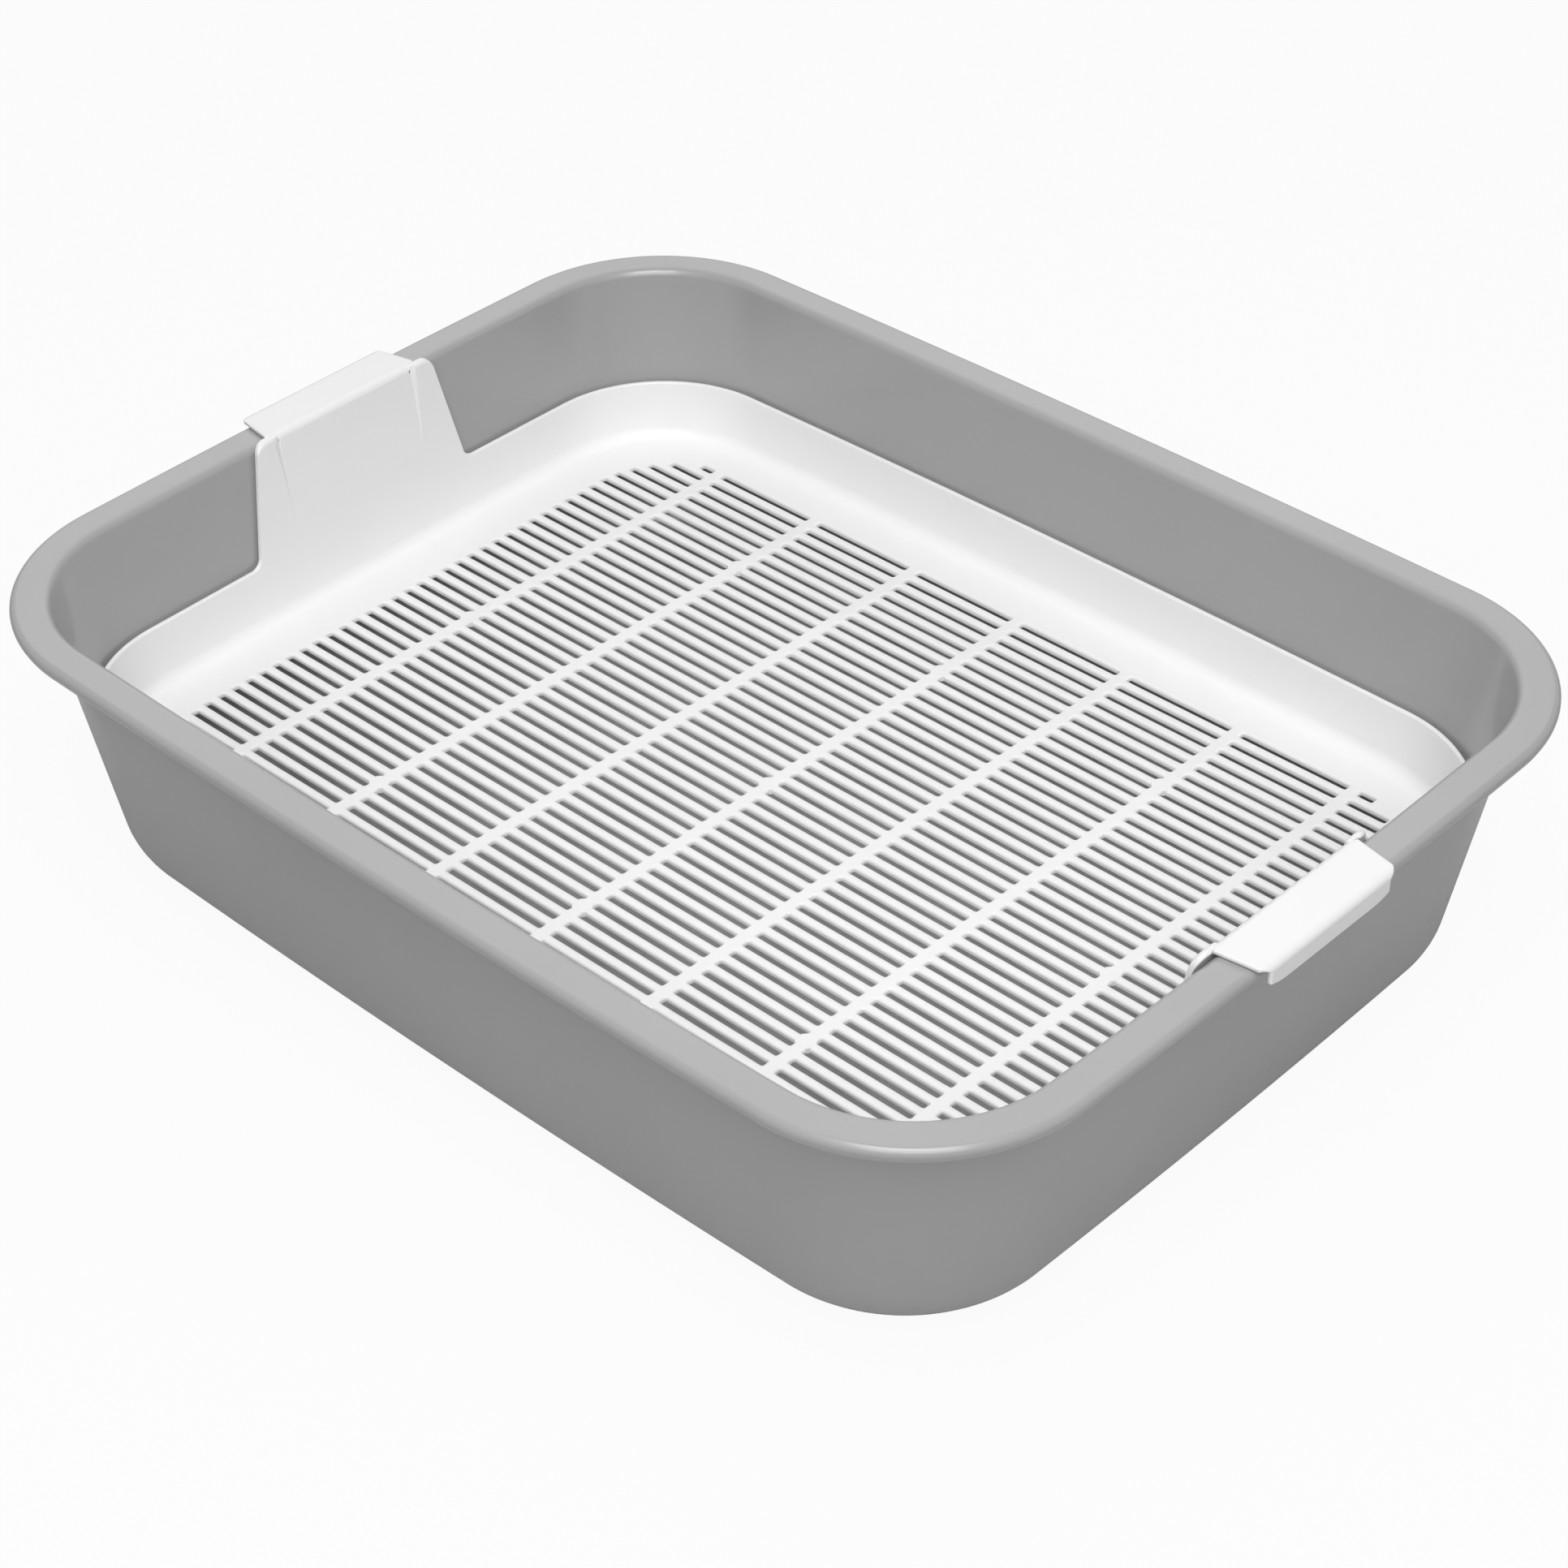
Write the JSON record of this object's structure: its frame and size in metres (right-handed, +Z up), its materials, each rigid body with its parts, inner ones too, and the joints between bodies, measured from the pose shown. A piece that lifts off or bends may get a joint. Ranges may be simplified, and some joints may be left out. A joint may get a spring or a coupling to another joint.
{
  "type": "sifting litter box",
  "caption": "Rectangular litter pan with rounded corners and a broad rim, holding a slotted sieve tray that hangs from hooks over the rim and lifts straight out.",
  "frame": {"origin": "under the middle of the pan's base, on the surface it stands on", "axes": "+X along the long sides, +Y across, +Z up"},
  "size_m": [0.4848, 0.3742, 0.1146],
  "materials": {
    "grey_plastic": "semi-gloss moulded",
    "white_plastic": "semi-gloss moulded"
  },
  "bodies": {
    "pan": {"litter_pan": "grey_plastic"},
    "sieve": {"sieve_tray": "white_plastic"}
  },
  "joints": [
    {"name": "sieve_lift", "type": "slide", "parent": "pan", "child": "sieve", "axis": [0, 0, 1], "range_m": [0, 0.15]}
  ]
}
